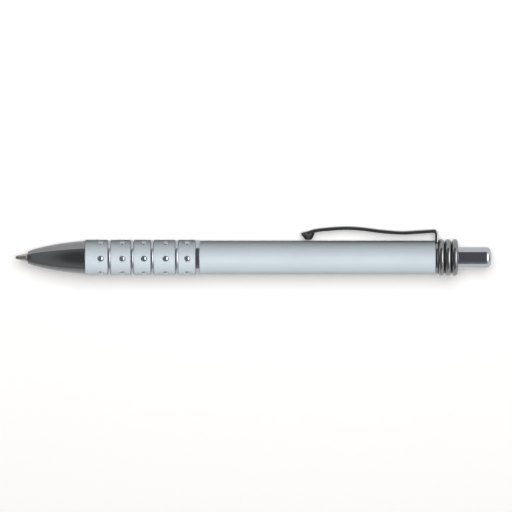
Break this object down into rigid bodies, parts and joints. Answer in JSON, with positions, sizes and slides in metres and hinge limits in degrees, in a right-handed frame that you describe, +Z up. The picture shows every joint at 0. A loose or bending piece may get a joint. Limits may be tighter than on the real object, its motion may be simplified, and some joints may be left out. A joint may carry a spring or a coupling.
{
  "type": "pushbutton ballpoint pen",
  "caption": "Slim metal ballpoint pen with a push button, a wavy sprung pocket clip and a satin grip with bright rings and studs, lying on its side.",
  "frame": {"origin": "middle of the pen's bounding box, on the table that the pen lies on", "axes": "+X along the pen from the writing tip to the push button, +Y towards the clip, +Z up from the table. The pen's own axis is level at y -1.74 mm, z 5.5 mm, and its clip points 23 degrees below +Y, with one edge on the table."},
  "size_m": [0.14, 0.0144, 0.011],
  "materials": {
    "satin_metal": "satin, fine blasted and clear anodised, silver",
    "bright_chrome": "polished chrome plate",
    "dark_chrome": "polished dark chrome plate",
    "brass": "turned brass",
    "nickel_silver": "turned nickel silver",
    "carbide": "ground ball",
    "refill_steel": "drawn tube, brushed along",
    "spring_steel": "drawn spring wire",
    "black_plastic": "moulded, matt black",
    "white_plastic": "moulded, natural white",
    "ink": "thick blue-black ink",
    "grease": "pale clear grease"
  },
  "bodies": {
    "barrel": {"barrel_tube": "satin_metal", "barrel_thread_bush": "brass", "top_bush": "black_plastic", "clip_collar": "dark_chrome", "cap_ring_1": "dark_chrome", "cap_ring_2": "dark_chrome", "cap_ring_3": "dark_chrome", "cam_sleeve": "black_plastic", "return_spring": "spring_steel"},
    "clip": {"clip_arm": "dark_chrome"},
    "button": {"push_button": "bright_chrome", "plunger": "white_plastic"},
    "refill": {"refill_tube": "refill_steel", "refill_nozzle": "nickel_silver", "tip_socket": "nickel_silver", "ink": "ink", "ink_follower": "grease", "refill_end_plug": "white_plastic"},
    "ball": {"writing_ball": "carbide"},
    "rotor": {"cam_rotor": "black_plastic"},
    "joint": {"joint_ring": "bright_chrome"},
    "front": {"nose_cone": "dark_chrome", "grip_sleeve": "satin_metal", "grip_ring_1": "bright_chrome", "grip_ring_2": "bright_chrome", "grip_ring_3": "bright_chrome", "grip_ring_4": "bright_chrome", "grip_stud_1_1": "bright_chrome", "grip_stud_1_2": "bright_chrome", "grip_stud_1_3": "bright_chrome", "grip_stud_1_4": "bright_chrome", "grip_stud_1_5": "bright_chrome", "grip_stud_1_6": "bright_chrome", "grip_stud_2_1": "bright_chrome", "grip_stud_2_2": "bright_chrome", "grip_stud_2_3": "bright_chrome", "grip_stud_2_4": "bright_chrome", "grip_stud_2_5": "bright_chrome", "grip_stud_2_6": "bright_chrome", "grip_stud_3_1": "bright_chrome", "grip_stud_3_2": "bright_chrome", "grip_stud_3_3": "bright_chrome", "grip_stud_3_4": "bright_chrome", "grip_stud_3_5": "bright_chrome", "grip_stud_3_6": "bright_chrome", "grip_stud_4_1": "bright_chrome", "grip_stud_4_2": "bright_chrome", "grip_stud_4_3": "bright_chrome", "grip_stud_4_4": "bright_chrome", "grip_stud_4_5": "bright_chrome", "grip_stud_4_6": "bright_chrome", "grip_stud_5_1": "bright_chrome", "grip_stud_5_2": "bright_chrome", "grip_stud_5_3": "bright_chrome", "grip_stud_5_4": "bright_chrome", "grip_stud_5_5": "bright_chrome", "grip_stud_5_6": "bright_chrome", "front_thread_bush": "brass"}
  },
  "joints": [
    {"name": "button_slide", "type": "slide", "parent": "barrel", "child": "button", "axis": [1, 0, 0], "range_m": [-0.0015, 0.0055]},
    {"name": "refill_slide", "type": "slide", "parent": "barrel", "child": "refill", "axis": [1, 0, 0], "range_m": [-0.0015, 0.0055], "deforming": ["return_spring"]},
    {"name": "rotor_turn", "type": "hinge", "parent": "refill", "child": "rotor", "pos_m": [0.03214, -0.00174, 0.0055], "axis": [1, 0, 0], "range_deg": [-17, 61]},
    {"name": "ball_roll", "type": "hinge", "parent": "refill", "child": "ball", "pos_m": [-0.06946, -0.00174, 0.0055], "axis": [0, 1, 0], "continuous": true},
    {"name": "clip_flex", "type": "hinge", "parent": "barrel", "child": "clip", "pos_m": [0.05389, 0.00343, 0.00328], "axis": [0, -0.3942, -0.919], "range_deg": [0, 4.5], "stiffness_Nm_per_rad": 2, "springref_deg": -1.72},
    {"name": "front_pull", "type": "slide", "parent": "barrel", "child": "joint", "axis": [-1, 0, 0], "range_m": [0, 0.07]},
    {"name": "front_turn", "type": "hinge", "parent": "joint", "child": "front", "pos_m": [-0.01699, -0.00174, 0.0055], "axis": [-1, 0, 0], "range_deg": [0, 1080]}
  ],
  "couplings": [
    {"joint": "refill_slide", "follows": "button_slide", "ratio": 1},
    {"joint": "rotor_turn", "follows": "button_slide", "rad_per_m": 190.4}
  ]
}
